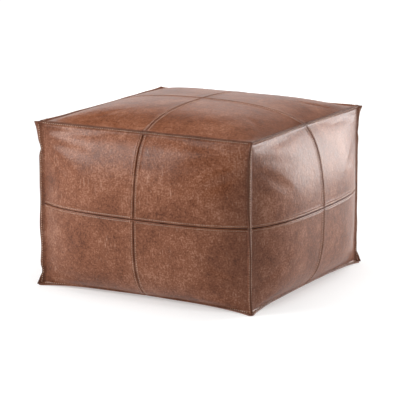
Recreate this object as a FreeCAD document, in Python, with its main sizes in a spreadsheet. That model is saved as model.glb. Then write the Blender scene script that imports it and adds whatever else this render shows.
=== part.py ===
import FreeCAD, Part
import math
import os

import Sketcher
from FreeCAD import Placement, Rotation, Vector

# A square stuffed leather pouf. Twenty-four leather panels are sewn into a cover: four on
# each face, two by two. Along the twelve edges the seam allowances are turned outwards and
# stitched together, so that two leather lips stand proud as a flange. A zip closes the
# underside. A cotton bag inside holds the filling.
#
# Frame: the origin is on the floor under the middle of the pouf, +Z is up, the zip runs
# along X, and the front is -Y. All lengths are in millimetres.

DIMENSIONS = [
    # alias, value, what it is
    ("half_width", 260.0, "middle of the cover to an edge seam"),
    ("edge_height", 366.0, "floor to the top edge seams"),
    ("side_crown", 45.0, "how far a stuffed side stands out past its edge seams"),
    ("top_crown", 34.0, "how far the stuffed top stands up past its edge seams"),
    ("leather", 2.0, "thickness of the leather"),
    ("lip_reach", 9.0, "width of the lips along the edges"),
    ("seam_to_stitch", 4.5, "panel seam to each row of topstitching"),
    ("thread", 0.9, "thickness of the thread"),
    ("lip_stitch_reach", 2.6, "edge seam to the stitching through a standing lip"),
    ("foot_stitch_reach", 4.8, "edge seam to the stitching through a lip on the floor"),
    ("liner_gap", 0.6, "leather to cotton bag"),
    ("liner_cloth", 1.0, "thickness of the cotton bag"),
    ("liner_floor", 10.0, "floor to the underside of the cotton bag"),
    ("hem_height", 6.0, "rolled hem beside the zip, three layers of leather"),
    ("hem_width", 18.0, "width of the rolled hem"),
    ("slot_half_width", 7.5, "middle of the zip to a hem"),
    ("slot_half_length", 235.0, "middle of the zip to the end of its slot"),
    ("slot_end_band", 10.0, "hem past the end of the slot"),
    ("tape_cloth", 0.8, "thickness of the zip tape"),
    ("tape_outer", 17.0, "middle of the zip to the outer edge of a tape"),
    ("tape_overrun", 5.0, "tape past the end of the slot"),
    ("chain_half_length", 214.0, "middle of the zip to its end stops"),
    ("chain_half_width", 3.4, "middle of the zip to the outer end of a tooth"),
    ("chain_channel", 0.5, "middle of the zip to the inner end of a tooth"),
    ("chain_thickness", 2.4, "thickness of the teeth"),
    ("tooth_pitch", 3.0, "one tooth to the next on the same tape"),
    ("tooth_width", 1.7, "length of a tooth along the zip"),
    ("stop_length", 4.0, "length of an end stop"),
    ("slider_half_length", 5.5, "half the length of the slider"),
    ("slider_half_width", 4.8, "half the width of the slider"),
    ("slider_plate", 1.2, "thickness of the slider's plates"),
    ("slider_wall", 0.9, "thickness of the slider's side walls"),
    ("slider_clearance", 0.3, "slider's plates to the teeth"),
    ("tape_clearance", 0.2, "slider's side walls to the tape"),
    ("web_half_width", 0.35, "half the thickness of the web that joins the plates"),
    ("web_length", 4.0, "length of the web"),
    ("slider_park", 206.0, "middle of the zip to the closed slider"),
    ("lug_half_gap", 1.45, "middle of the slider to the inner side of a pull lug"),
    ("lug_thickness", 0.8, "thickness of a pull lug"),
    ("lug_length", 2.4, "length of a pull lug"),
    ("pin_drop", 1.5, "slider's lower plate to the middle of the hinge pin"),
    ("pin_radius", 0.5, "radius of the hinge pin"),
    ("pin_clearance", 0.08, "hinge pin to the pull's bore"),
    ("pull_thickness", 1.6, "thickness of the pull tab"),
    ("pull_length", 26.0, "hinge pin to the end of the pull tab"),
    ("pull_width", 6.5, "width of the pull tab"),
    ("pull_neck", 2.7, "width of the pull tab between the lugs"),
    ("pull_neck_length", 3.6, "hinge pin to the start of the wide part of the tab"),
    ("pull_hole_radius", 1.2, "hole near the end of the pull tab"),
]

CROWN_DEGREE = 4  # a stuffed face falls away from its middle as 1 - s^4
QUARTER_TURNS = {"front": 0, "right": 1, "back": 2, "left": 3}
HALVES = {"left": -1, "right": 1}
LEVELS = {"lower": -1, "upper": 1}
SLANT = math.sqrt(0.5)  # a standing lip leans out at 45 degrees, between its two faces
LIP_ROOT = 2.0  # how far a lip reaches back into its panel, so that the two are one piece
THREAD_LIFT = 0.1  # thread stands this far off the leather, so that the solids stay apart
CORNER_REST = 6.0  # stitching stops this far from a corner
PARTS_FOLDER = "parts"

doc = FreeCAD.newDocument("leather_pouf")
sheet = doc.addObject("Spreadsheet::Sheet", "sizes")
for row, (alias, value, meaning) in enumerate(DIMENSIONS, start=1):
    sheet.set(f"A{row}", meaning)
    sheet.set(f"B{row}", str(value))
    sheet.setAlias(f"B{row}", alias)
doc.recompute()

subparts = []


def size(alias):
    """A driving dimension, read from the sheet."""
    return float(sheet.get(alias))


HALF_WIDTH = size("half_width")
LEATHER = size("leather")
BASE_TOP = LEATHER  # the underside panels lie flat, and the sides start on top of them
MIDDLE_HEIGHT = (BASE_TOP + size("edge_height")) / 2
HALF_HEIGHT = (size("edge_height") - BASE_TOP) / 2
MIDDLE = Vector(0, 0, MIDDLE_HEIGHT)

# Every face is drawn flat on its back: local X runs across it, local Y up it, and local Z
# outwards from the middle of the pouf. A span is (half width, half height, depth).
SIDE_SPAN = (HALF_WIDTH, HALF_HEIGHT, HALF_WIDTH)
TOP_SPAN = (HALF_WIDTH, HALF_WIDTH, HALF_HEIGHT)


def keep(obj, label):
    """Lists a finished sub-part under the name that its file gets."""
    obj.Label = label
    subparts.append(obj)
    return obj


def feature(label, shape, placement=None):
    """A sub-part whose shape neither a Body nor a primitive can give."""
    obj = doc.addObject("Part::Feature", label)
    obj.Shape = shape
    obj.Placement = placement or Placement()
    return keep(obj, label)


def side_placement(side):
    """Stands a face up against the given side of the pouf."""
    stand_up = Rotation(Vector(1, 0, 0), 90)
    turn = Rotation(Vector(0, 0, 1), 90 * QUARTER_TURNS[side])
    return Placement(MIDDLE, turn * stand_up)


def top_placement(quarter_turns=0):
    """Lays a face on top of the pouf."""
    return Placement(MIDDLE, Rotation(Vector(0, 0, 1), 90 * quarter_turns))


# ---------------------------------------------------------------- crowned leather


def rise(steps, whole):
    """Control heights of 1 - s^4: over a whole face from -1 to 1, or from 0 to 1."""
    if whole:
        return [1 - (-1) ** step for step in range(steps + 1)]
    return [1] * steps + [0]


def crowned_surface(span, crown, depth, whole=False):
    """The stuffed face, or its upper right quarter, shrunk evenly by depth."""
    half_x, half_y, half_z = span
    heights = rise(CROWN_DEGREE, whole)
    start = -1 if whole else 0
    surface = Part.BezierSurface()
    surface.increase(CROWN_DEGREE, CROWN_DEGREE)
    for i in range(CROWN_DEGREE + 1):
        for j in range(CROWN_DEGREE + 1):
            x = half_x * (start + (1 - start) * i / CROWN_DEGREE)
            y = half_y * (start + (1 - start) * j / CROWN_DEGREE)
            z = half_z + crown * heights[i] * heights[j]
            pole = Vector(
                x * (1 - depth / half_x),
                y * (1 - depth / half_y),
                z * (1 - depth / half_z),
            )
            surface.setPole(i + 1, j + 1, pole)
    return surface


def borders(surface):
    """The four edges of a surface, in a fixed order."""
    curves = (surface.uIso(0), surface.uIso(1), surface.vIso(0), surface.vIso(1))
    return [curve.toShape() for curve in curves]


def solid_of(faces):
    """One closed solid from its faces."""
    shell = Part.makeShell(faces)
    shell.sewShape()
    solid = Part.Solid(shell)
    if solid.Volume < 0:
        solid.reverse()
    return solid


def crowned_sheet(span, crown, outer_depth, thickness, whole=False):
    """A sheet that follows the stuffed face, from outer_depth inwards."""
    outer = crowned_surface(span, crown, outer_depth, whole)
    inner = crowned_surface(span, crown, outer_depth + thickness, whole)
    faces = [outer.toShape(), inner.toShape()]
    for outer_edge, inner_edge in zip(borders(outer), borders(inner)):
        faces.append(Part.makeRuledSurface(outer_edge, inner_edge))
    return solid_of(faces)


def lofted_block(near, far):
    """A block between two four-sided ends, each a list of points in the same order."""
    faces = [Part.Face(Part.makePolygon(end + end[:1])) for end in (near, far)]
    for k in range(len(near)):
        after = (k + 1) % len(near)
        ring = [near[k], near[after], far[after], far[k], near[k]]
        faces.append(Part.Face(Part.makePolygon(ring)))
    return solid_of(faces)


def lip_outline():
    """The section of a standing lip, from the edge seam outwards at 45 degrees. Each point
    is its distance along the face and its height over the face."""
    reach = size("lip_reach")
    outline = []
    for along, aside in ((0, 0), (reach, 0), (reach, LEATHER), (-LIP_ROOT, LEATHER)):
        outline.append((SLANT * (along - aside), SLANT * (along + aside)))
    return outline


def side_lip(span, along_x, start):
    """A standing lip on the face's top edge (along_x) or its right edge. It runs from start
    to the corner, where it is mitred with the lips of the other edges."""
    half_x, half_y, half_z = span
    half_run, half_out = (half_x, half_y) if along_x else (half_y, half_x)
    near = []
    far = []
    for out, up in lip_outline():
        place = (half_out + out, half_z + up)
        corner = half_run + up
        for end, run in ((near, start), (far, corner)):
            if along_x:
                end.append(Vector(run, place[0], place[1]))
            else:
                end.append(Vector(place[0], run, place[1]))
    return lofted_block(near, far)


def floor_lip(span):
    """The level lip along the foot of a lower panel, which is drawn with its foot upwards."""
    half_x, half_y, half_z = span
    reach = size("lip_reach")
    out_near = half_z - LIP_ROOT
    out_far = half_z + reach
    near = []
    far = []
    for out, drop in ((out_near, 0), (out_far, 0), (out_far, LEATHER), (out_near, LEATHER)):
        near.append(Vector(0, half_y - drop, out))
        far.append(Vector(half_x + out - half_z, half_y - drop, out))
    return lofted_block(near, far)


def leather_panel(span, crown, standing_top=True):
    """A quarter of a stuffed face with the two lips along its outer edges."""
    panel = crowned_sheet(span, crown, 0, LEATHER)
    upright = side_lip(span, along_x=False, start=0)
    if standing_top:
        level = side_lip(span, along_x=True, start=0)
    else:
        level = floor_lip(span)
        foot = Part.makeBox(2 * span[0], 2 * span[1], 4 * span[2])
        foot.translate(Vector(-span[0] / 2, span[1], -span[2]))
        upright = upright.cut(foot)
    return panel.fuse([upright, level]).removeSplitter()


def flipped(shape, flip_x, flip_y):
    """The shape mirrored across the middle of its face."""
    if flip_x:
        shape = shape.mirror(Vector(0, 0, 0), Vector(1, 0, 0))
    if flip_y:
        shape = shape.mirror(Vector(0, 0, 0), Vector(0, 1, 0))
    return shape


def make_side_panels():
    """Sixteen panels: two by two on each of the four sides."""
    crown = size("side_crown")
    quarter = {
        "upper": leather_panel(SIDE_SPAN, crown),
        "lower": leather_panel(SIDE_SPAN, crown, standing_top=False),
    }
    for side in QUARTER_TURNS:
        for level, sign_y in LEVELS.items():
            for half, sign_x in HALVES.items():
                shape = flipped(quarter[level], sign_x < 0, sign_y < 0)
                feature(f"{side}_panel_{level}_{half}", shape, side_placement(side))


def make_top_panels():
    """Four panels on top, each a quarter turn from the last."""
    quarter = leather_panel(TOP_SPAN, size("top_crown"))
    names = ("back_right", "back_left", "front_left", "front_right")
    for turns, name in enumerate(names):
        feature(f"top_panel_{name}", quarter, top_placement(turns))


# ---------------------------------------------------------------- underside and zip


def box(name, length, width, height, x=None, y=None, z=None):
    """A Part::Box whose sizes and place are expressions on the sheet."""
    obj = doc.addObject("Part::Box", name)
    obj.setExpression("Length", length)
    obj.setExpression("Width", width)
    obj.setExpression("Height", height)
    for axis, place in (("x", x), ("y", y), ("z", z)):
        if place:
            obj.setExpression(f"Placement.Base.{axis}", place)
    return obj


def signed(start, length, sign):
    """Where a box begins that covers start to start + length on one side of the middle."""
    return start if sign > 0 else f"-({start}) - ({length})"


def boolean(kind, name, base, tool):
    """A parametric boolean of two objects."""
    obj = doc.addObject(kind, name)
    obj.Base = base
    obj.Tool = tool
    return obj


def make_underside_panel(name, sign_x, sign_y):
    """A flat quarter of the underside. Its rolled hem borders the zip's slot, and its outer
    edges are the lower lips of the cover."""
    full = "sizes.half_width + sizes.lip_reach"
    plate = box(
        f"{name}_plate", full, full, "sizes.leather",
        signed("0", full, sign_x), signed("0", full, sign_y),
    )
    hem_length = "sizes.slot_half_length + sizes.slot_end_band"
    hem_width = "sizes.slot_half_width + sizes.hem_width"
    hem = box(
        f"{name}_hem", hem_length, hem_width, "sizes.hem_height",
        signed("0", hem_length, sign_x), signed("0", hem_width, sign_y),
    )
    slot = box(
        f"{name}_slot",
        "sizes.slot_half_length", "sizes.slot_half_width", "2 * sizes.hem_height",
        signed("0", "sizes.slot_half_length", sign_x),
        signed("0", "sizes.slot_half_width", sign_y),
        "-sizes.hem_height / 2",
    )
    whole = boolean("Part::Fuse", f"{name}_whole", plate, hem)
    keep(boolean("Part::Cut", name, whole, slot), name)


def make_underside_panels():
    """Four flat panels, two on each side of the zip."""
    for depth, sign_y in (("front", -1), ("back", 1)):
        for half, sign_x in HALVES.items():
            make_underside_panel(f"underside_panel_{depth}_{half}", sign_x, sign_y)


def make_zip_tapes():
    """The two cloth tapes, sewn on top of the hems."""
    length = "2 * (sizes.slot_half_length + sizes.tape_overrun)"
    width = "sizes.tape_outer - sizes.chain_half_width"
    for name, sign in (("zip_tape_front", -1), ("zip_tape_back", 1)):
        tape = box(
            name, length, width, "sizes.tape_cloth",
            f"-({length}) / 2", signed("sizes.chain_half_width", width, sign),
            "sizes.hem_height",
        )
        keep(tape, name)


def make_zip_teeth():
    """A row of separate teeth on each tape. The two rows are half a pitch apart, and they
    leave a narrow channel between them for the slider's web."""
    pitch = size("tooth_pitch")
    tooth = size("tooth_width")
    thickness = size("chain_thickness")
    inner = size("chain_channel")
    outer = size("chain_half_width")
    half_length = size("chain_half_length")
    low = size("hem_height") + (size("tape_cloth") - thickness) / 2
    for name, sign, shift in (("zip_teeth_front", -1, 0.0), ("zip_teeth_back", 1, 0.5)):
        count = int((2 * half_length - tooth) / pitch - shift)
        across = inner if sign > 0 else -outer
        row = []
        for k in range(count + 1):
            along = -half_length + (k + shift) * pitch
            corner = Vector(along, across, low)
            row.append(Part.makeBox(tooth, outer - inner, thickness, corner))
        feature(name, Part.makeCompound(row))


def make_zip_stops():
    """A metal stop across each end of the chain."""
    middle = "sizes.hem_height + sizes.tape_cloth / 2"
    for name, sign in (("zip_stop_open_end", -1), ("zip_stop_closed_end", 1)):
        stop = box(
            name, "sizes.stop_length", "2 * sizes.chain_half_width", "sizes.chain_thickness",
            signed("sizes.chain_half_length", "sizes.stop_length", sign),
            "-sizes.chain_half_width", f"{middle} - sizes.chain_thickness / 2",
        )
        keep(stop, name)


def add_block(body, name, low, high):
    """An additive box of a Body between two corners, each three expressions."""
    block = body.newObject("PartDesign::AdditiveBox", name)
    for axis, label, start, end in zip("xyz", ("Length", "Width", "Height"), low, high):
        block.setExpression(label, f"({end}) - ({start})")
        block.setExpression(f"Placement.Base.{axis}", start)
    return block


def origin_plane(body, role):
    """One of the Body's own origin planes."""
    return next(plane for plane in body.Origin.OriginFeatures if plane.Role == role)


def make_zip_slider():
    """The slider: two plates above and below the chain, joined by a thin web in the chain's
    channel, with side walls over the tapes and two lugs that hold the pull's pin."""
    body = doc.addObject("PartDesign::Body", "zip_slider")
    tape_middle = "sizes.hem_height + sizes.tape_cloth / 2"
    room = "sizes.chain_thickness / 2 + sizes.slider_clearance"
    wall_room = "sizes.tape_cloth / 2 + sizes.tape_clearance"
    upper = f"{tape_middle} + {room}"
    lower = f"{tape_middle} - ({room})"
    rear = "sizes.slider_park - sizes.slider_half_length"
    nose = "sizes.slider_park + sizes.slider_half_length"
    side = "sizes.slider_half_width"
    add_block(
        body, "lower_plate",
        (rear, f"-{side}", f"{lower} - sizes.slider_plate"), (nose, side, lower),
    )
    add_block(
        body, "web",
        (f"{nose} - sizes.web_length", "-sizes.web_half_width", lower),
        (nose, "sizes.web_half_width", upper),
    )
    add_block(
        body, "upper_plate",
        (rear, f"-{side}", upper), (nose, side, f"{upper} + sizes.slider_plate"),
    )
    for name, sign in (("front", -1), ("back", 1)):
        start = signed(f"{side} - sizes.slider_wall", "sizes.slider_wall", sign)
        end = f"{start} + sizes.slider_wall"
        add_block(
            body, f"lower_wall_{name}",
            (rear, start, lower), (nose, end, f"{tape_middle} - ({wall_room})"),
        )
        add_block(
            body, f"upper_wall_{name}",
            (rear, start, f"{tape_middle} + {wall_room}"), (nose, end, upper),
        )
        lug_start = signed("sizes.lug_half_gap", "sizes.lug_thickness", sign)
        plate_bottom = f"{lower} - sizes.slider_plate"
        pin_height = f"{plate_bottom} - sizes.pin_drop"
        add_block(
            body, f"lug_{name}",
            (
                "sizes.slider_park - sizes.lug_length / 2",
                lug_start,
                f"{pin_height} - 2 * sizes.pin_radius",
            ),
            (
                "sizes.slider_park + sizes.lug_length / 2",
                f"{lug_start} + sizes.lug_thickness",
                plate_bottom,
            ),
        )
    pin = body.newObject("PartDesign::AdditiveCylinder", "pull_pin")
    pin.setExpression("Radius", "sizes.pin_radius")
    pin.setExpression("Height", "2 * (sizes.lug_half_gap + sizes.lug_thickness)")
    pin.Placement = Placement(Vector(), Rotation(Vector(1, 0, 0), -90))
    pin.setExpression("Placement.Base.x", "sizes.slider_park")
    pin.setExpression("Placement.Base.y", "-sizes.lug_half_gap - sizes.lug_thickness")
    pin.setExpression("Placement.Base.z", pin_height)
    keep(body, "zip_slider")


def polygon_sketch(body, name, plane, corners):
    """A closed sketch on one of the Body's planes. Each corner is a pair of expressions."""
    sketch = body.newObject("Sketcher::SketchObject", name)
    sketch.AttachmentSupport = [(origin_plane(body, plane), "")]
    sketch.MapMode = "FlatFace"
    count = len(corners)
    for k in range(count):
        # A line needs two separate ends before its constraints place it.
        turn = 2 * math.pi * k / count
        after = 2 * math.pi * (k + 1) / count
        near = Vector(math.cos(turn), math.sin(turn), 0)
        far = Vector(math.cos(after), math.sin(after), 0)
        sketch.addGeometry(Part.LineSegment(near, far))
    for k in range(count):
        sketch.addConstraint(Sketcher.Constraint("Coincident", k, 2, (k + 1) % count, 1))
    for k, corner in enumerate(corners):
        for kind, place in zip(("DistanceX", "DistanceY"), corner):
            index = sketch.addConstraint(Sketcher.Constraint(kind, -1, 1, k, 1, 1.0))
            sketch.setExpression(f"Constraints[{index}]", place)
    return sketch


def make_zip_pull():
    """The pull tab: a flat tongue with a narrow neck between the slider's lugs."""
    body = doc.addObject("PartDesign::Body", "zip_pull")
    neck = "sizes.pull_neck / 2"
    wide = "sizes.pull_width / 2"
    knuckle = "sizes.pull_thickness / 2"
    tip = "sizes.pull_length"
    shoulder = "sizes.pull_neck_length"
    taper = "sizes.pull_neck_length + sizes.pull_width / 2"
    corners = [
        (knuckle, f"-{neck}"),
        (knuckle, neck),
        (f"-({shoulder})", neck),
        (f"-({taper})", wide),
        (f"-({tip})", wide),
        (f"-({tip})", f"-{wide}"),
        (f"-({taper})", f"-{wide}"),
        (f"-({shoulder})", f"-{neck}"),
    ]
    outline = polygon_sketch(body, "tongue_outline", "XY_Plane", corners)
    tongue = body.newObject("PartDesign::Pad", "tongue")
    tongue.Profile = outline
    tongue.setExpression("Length", "sizes.pull_thickness")
    tongue.Midplane = True
    doc.recompute()

    eye = body.newObject("Sketcher::SketchObject", "eye_outline")
    eye.AttachmentSupport = [(origin_plane(body, "XY_Plane"), "")]
    eye.MapMode = "FlatFace"
    eye.addGeometry(Part.Circle(Vector(-1, 0, 0), Vector(0, 0, 1), 1))
    radius = eye.addConstraint(Sketcher.Constraint("Radius", 0, 1.0))
    eye.setExpression(f"Constraints[{radius}]", "sizes.pull_hole_radius")
    eye.addConstraint(Sketcher.Constraint("PointOnObject", 0, 3, -1))
    place = eye.addConstraint(Sketcher.Constraint("DistanceX", 0, 3, -1, 1, 1.0))
    eye.setExpression(f"Constraints[{place}]", "sizes.pull_length - 3 * sizes.pull_hole_radius")
    hole = body.newObject("PartDesign::Pocket", "eye")
    hole.Profile = eye
    hole.Type = 1
    hole.Midplane = True

    bore = body.newObject("PartDesign::SubtractiveCylinder", "pin_bore")
    bore.setExpression("Radius", "sizes.pin_radius + sizes.pin_clearance")
    bore.setExpression("Height", "2 * sizes.pull_width")
    bore.Placement = Placement(Vector(), Rotation(Vector(1, 0, 0), -90))
    bore.setExpression("Placement.Base.y", "-sizes.pull_width")
    body.setExpression("Placement.Base.x", "sizes.slider_park")
    body.setExpression(
        "Placement.Base.z",
        "sizes.hem_height + sizes.tape_cloth / 2 - sizes.chain_thickness / 2"
        " - sizes.slider_clearance - sizes.slider_plate - sizes.pin_drop",
    )
    keep(body, "zip_pull")


# ---------------------------------------------------------------- thread


def stitch_ribbon(edge, rise_by, across):
    """A flat run of thread: an edge drawn out along rise_by, then along across."""
    return edge.extrude(rise_by).extrude(across)


def topstitch_rows(span, crown):
    """The two rows of thread on a quarter of a face, one beside each of its inner seams."""
    half_x, half_y, _ = span
    offset = size("seam_to_stitch")
    thread = size("thread")
    surface = crowned_surface(span, crown, 0)
    up = Vector(0, 0, thread)
    beside_y = surface.uIso(offset / half_x)
    beside_x = surface.vIso(offset / half_y)
    beside_y = beside_y.toShape(CORNER_REST / half_y, 1 - CORNER_REST / half_y)
    beside_x = beside_x.toShape(2 * CORNER_REST / half_x, 1 - CORNER_REST / half_x)
    rows = [
        stitch_ribbon(beside_y, up, Vector(thread, 0, 0)),
        stitch_ribbon(beside_x, up, Vector(0, thread, 0)),
    ]
    for row in rows:
        row.translate(Vector(0, 0, THREAD_LIFT))
    return rows


def make_face_topstitching():
    """The topstitching of the top and of each side, eight rows a face."""
    faces = [("top", TOP_SPAN, size("top_crown"), top_placement())]
    for side in QUARTER_TURNS:
        faces.append((side, SIDE_SPAN, size("side_crown"), side_placement(side)))
    for name, span, crown, placement in faces:
        rows = topstitch_rows(span, crown)
        everywhere = []
        for flip_x in (False, True):
            for flip_y in (False, True):
                everywhere += [flipped(row, flip_x, flip_y) for row in rows]
        feature(f"{name}_topstitching", Part.makeCompound(everywhere), placement)


def make_underside_topstitching():
    """The thread that holds the zip's tapes down on the hems."""
    thread = size("thread")
    length = 2 * size("slot_half_length")
    across = (size("slot_half_width") + size("tape_outer")) / 2
    low = size("hem_height") + size("tape_cloth") + THREAD_LIFT
    rows = []
    for sign in (-1, 1):
        corner = Vector(-length / 2, sign * across - thread / 2, low)
        rows.append(Part.makeBox(length, thread, thread, corner))
    feature("zip_tape_stitching", Part.makeCompound(rows))


def lip_thread(span, along_x, start):
    """Thread on the outer side of a standing lip, from start to just short of the corner."""
    half_x, half_y, half_z = span
    half_run, half_out = (half_x, half_y) if along_x else (half_y, half_x)
    thread = size("thread")
    along = size("lip_stitch_reach")
    aside = LEATHER + THREAD_LIFT
    near = []
    far = []
    corners = (
        (along, aside),
        (along + thread, aside),
        (along + thread, aside + thread),
        (along, aside + thread),
    )
    for reach, away in corners:
        out = half_out + SLANT * (reach - away)
        up = half_z + SLANT * (reach + away)
        for end, run in ((near, start), (far, half_run - CORNER_REST)):
            end.append(Vector(run, out, up) if along_x else Vector(out, run, up))
    return lofted_block(near, far)


def make_lip_stitching():
    """The stitching through the lips: along the four top edges, the four uprights and the
    four bottom edges. Thread shows on both sides of a standing lip."""
    top_rows = []
    upright_rows = []
    foot_rows = []
    thread = size("thread")
    top_thread = lip_thread(TOP_SPAN, True, CORNER_REST - HALF_WIDTH)
    side_thread = lip_thread(SIDE_SPAN, True, CORNER_REST - HALF_WIDTH)
    upright = lip_thread(SIDE_SPAN, False, CORNER_REST - HALF_HEIGHT)
    foot = Part.makeBox(
        2 * (HALF_WIDTH - CORNER_REST), thread, thread,
        Vector(CORNER_REST - HALF_WIDTH, -HALF_HEIGHT + LEATHER + THREAD_LIFT,
               HALF_WIDTH + size("foot_stitch_reach")),
    )
    for turns, side in enumerate(QUARTER_TURNS):
        stand = side_placement(side).toMatrix()
        top_rows.append(top_thread.transformed(top_placement(turns).toMatrix()))
        top_rows.append(side_thread.transformed(stand))
        foot_rows.append(foot.transformed(stand))
        for mirrored in (False, True):
            upright_rows.append(flipped(upright, mirrored, False).transformed(stand))
    feature("top_lip_stitching", Part.makeCompound(top_rows))
    feature("upright_lip_stitching", Part.makeCompound(upright_rows))
    feature("bottom_lip_stitching", Part.makeCompound(foot_rows))


# ---------------------------------------------------------------- cotton bag and filling


def above(height):
    """Everything above a height, as a block to intersect with."""
    reach = 4 * HALF_WIDTH
    return Part.makeBox(reach, reach, reach, Vector(-reach / 2, -reach / 2, height))


def stuffed_solid(depth):
    """The whole stuffed shape, shrunk evenly by depth from the outside of the leather."""
    faces = []
    top = crowned_surface(TOP_SPAN, size("top_crown"), depth, whole=True).toShape()
    top.Placement = top_placement()
    faces.append(top)
    side_face = crowned_surface(SIDE_SPAN, size("side_crown"), depth, whole=True)
    for side in QUARTER_TURNS:
        face = side_face.toShape()
        face.Placement = side_placement(side)
        faces.append(face)
    low = BASE_TOP + depth
    half = HALF_WIDTH - depth
    corners = [(-half, -half), (half, -half), (half, half), (-half, half), (-half, -half)]
    floor = Part.makePolygon([Vector(x, y, low) for x, y in corners])
    faces.append(Part.Face(floor))
    return solid_of(faces)


def make_liner():
    """The cotton bag: six cloth panels just inside the leather, flat over the zip."""
    depth = LEATHER + size("liner_gap")
    cloth = size("liner_cloth")
    floor = size("liner_floor")
    top = crowned_sheet(TOP_SPAN, size("top_crown"), depth, cloth, whole=True)
    feature("liner_top", top, top_placement())
    side_sheet = crowned_sheet(SIDE_SPAN, size("side_crown"), depth, cloth, whole=True)
    for side in QUARTER_TURNS:
        standing = side_sheet.transformed(side_placement(side).toMatrix())
        feature(f"liner_{side}", standing.common(above(floor + cloth)))
    slab = above(floor).cut(above(floor + cloth))
    feature("liner_bottom", stuffed_solid(depth).common(slab))


def make_filling():
    """The loose filling, as one solid that fills the bag."""
    depth = LEATHER + 2 * size("liner_gap") + size("liner_cloth")
    low = size("liner_floor") + size("liner_cloth") + size("liner_gap")
    feature("filling", stuffed_solid(depth).common(above(low)))


def check_and_write():
    """Stops if any object failed, then writes a STEP file for each sub-part."""
    doc.recompute()
    for obj in doc.Objects:
        if "Invalid" in obj.State or "Error" in obj.State:
            raise RuntimeError(f"{obj.Label} failed: {obj.State}")
    os.makedirs(PARTS_FOLDER, exist_ok=True)
    for obj in subparts:
        shape = obj.Shape
        if shape.isNull() or not shape.isValid():
            raise RuntimeError(f"{obj.Label} has no valid shape")
        if not shape.Solids or min(solid.Volume for solid in shape.Solids) <= 0:
            raise RuntimeError(f"{obj.Label} has no solid")
        shape.exportStep(os.path.join(PARTS_FOLDER, f"{obj.Label}.step"))
        print(f"{obj.Label:32s} {len(shape.Solids):4d} solids {shape.Volume / 1000:10.2f} cm3")


make_top_panels()
make_side_panels()
make_underside_panels()
make_zip_tapes()
make_zip_teeth()
make_zip_stops()
make_zip_slider()
make_zip_pull()
make_face_topstitching()
make_underside_topstitching()
make_lip_stitching()
make_liner()
make_filling()
check_and_write()
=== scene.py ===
# %% [markdown]
# # A stuffed leather pouf
# The real thing is a cover of twenty-four leather patches, sewn inside out along the
# faces and with the seam allowances turned outwards along the twelve edges, where they
# stand out as a double lip. It is filled through a zip underneath until it bulges.
# The CAD model already holds the sizes, the zip and its motion, so this file starts from
# it and rebuilds everything soft: leather, thread, cotton bag and filling.

import math

import bmesh
import bpy
import numpy as np
from mathutils import Matrix, Vector, noise


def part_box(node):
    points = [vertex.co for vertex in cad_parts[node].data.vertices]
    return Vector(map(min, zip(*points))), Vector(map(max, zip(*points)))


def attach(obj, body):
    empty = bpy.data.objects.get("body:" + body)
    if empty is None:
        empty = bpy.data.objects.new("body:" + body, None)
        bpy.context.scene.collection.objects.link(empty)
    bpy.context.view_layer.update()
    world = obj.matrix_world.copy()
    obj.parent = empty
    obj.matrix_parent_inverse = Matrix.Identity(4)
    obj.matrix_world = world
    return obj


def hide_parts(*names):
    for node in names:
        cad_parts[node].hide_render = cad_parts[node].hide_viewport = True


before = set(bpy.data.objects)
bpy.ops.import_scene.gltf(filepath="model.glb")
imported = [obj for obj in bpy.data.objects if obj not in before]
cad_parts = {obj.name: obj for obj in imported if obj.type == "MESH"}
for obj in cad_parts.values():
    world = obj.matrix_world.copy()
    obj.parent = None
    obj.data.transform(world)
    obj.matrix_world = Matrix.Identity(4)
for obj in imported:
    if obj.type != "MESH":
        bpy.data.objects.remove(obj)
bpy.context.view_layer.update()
noise.seed_set(4)  # without a seed, Blender's noise vectors change from run to run

# %% [markdown]
# ## Sizes
# Every soft piece is placed from the CAD parts that it belongs with, so the driving sizes
# are read back from their boxes. The lip's reach and the leather's thickness are the two
# that a box can't give, and they are repeated here.

# %% Read the sizes from the frame
LEATHER = 0.002
LIP = 0.009
SLANT = math.sqrt(0.5)

side_low, side_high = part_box("front_panel_upper_right")
HALF = side_high.x - SLANT * (LIP + LEATHER)
TOP_EDGE = side_high.z - SLANT * LIP
BASE_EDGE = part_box("front_panel_lower_right")[0].z
SIDE_CROWN = -side_low.y - HALF
TOP_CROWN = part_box("top_panel_back_right")[1].z - TOP_EDGE
MIDDLE = (TOP_EDGE + BASE_EDGE) / 2
RISE = (TOP_EDGE - BASE_EDGE) / 2
print(f"half width {HALF:.3f}, edges {BASE_EDGE:.3f} to {TOP_EDGE:.3f}, crown {SIDE_CROWN:.3f}")

# %% [markdown]
# ## The stuffed shape
# A cushion starts as a box. Its faces are then crowned, and its edges are pulled in between
# the corners, because that is what stuffing does to straight seams. One formula gives
# every point of the outside from a point on a cube that runs from -1 to 1, so all six faces
# agree along their shared edges.

# %% From a cube to a stuffed cover
UPRIGHT_PULL = 0.004
TOP_PULL = 0.003
FLOOR_PULL = (0.003, 0.012)  # the right and left edges, then the front and back ones
TOP_DIP = 0.001
FLOOR_LIFT = 0.006
UPPER_FULLNESS = 2.8  # powers: the higher, the longer a side stays upright before it turns in
LOWER_FULLNESS = 5.0
SIDE_START = 0.94  # the share of a crown that is there before the pressure fills it
TOP_START = 0.94

FACES = {
    "front": ((1, 0, 0), (0, 0, 1), (0, -1, 0)),
    "right": ((0, 1, 0), (0, 0, 1), (1, 0, 0)),
    "back": ((-1, 0, 0), (0, 0, 1), (0, 1, 0)),
    "left": ((0, -1, 0), (0, 0, 1), (-1, 0, 0)),
    "top": ((1, 0, 0), (0, 1, 0), (0, 0, 1)),
    "underside": ((1, 0, 0), (0, -1, 0), (0, 0, -1)),
}
AXES = {name: [np.array(axis, float) for axis in axes] for name, axes in FACES.items()}


def away(t, power):
    """1 in the middle of an edge, falling to 0 at its ends."""
    return 1 - np.abs(t) ** power


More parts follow.
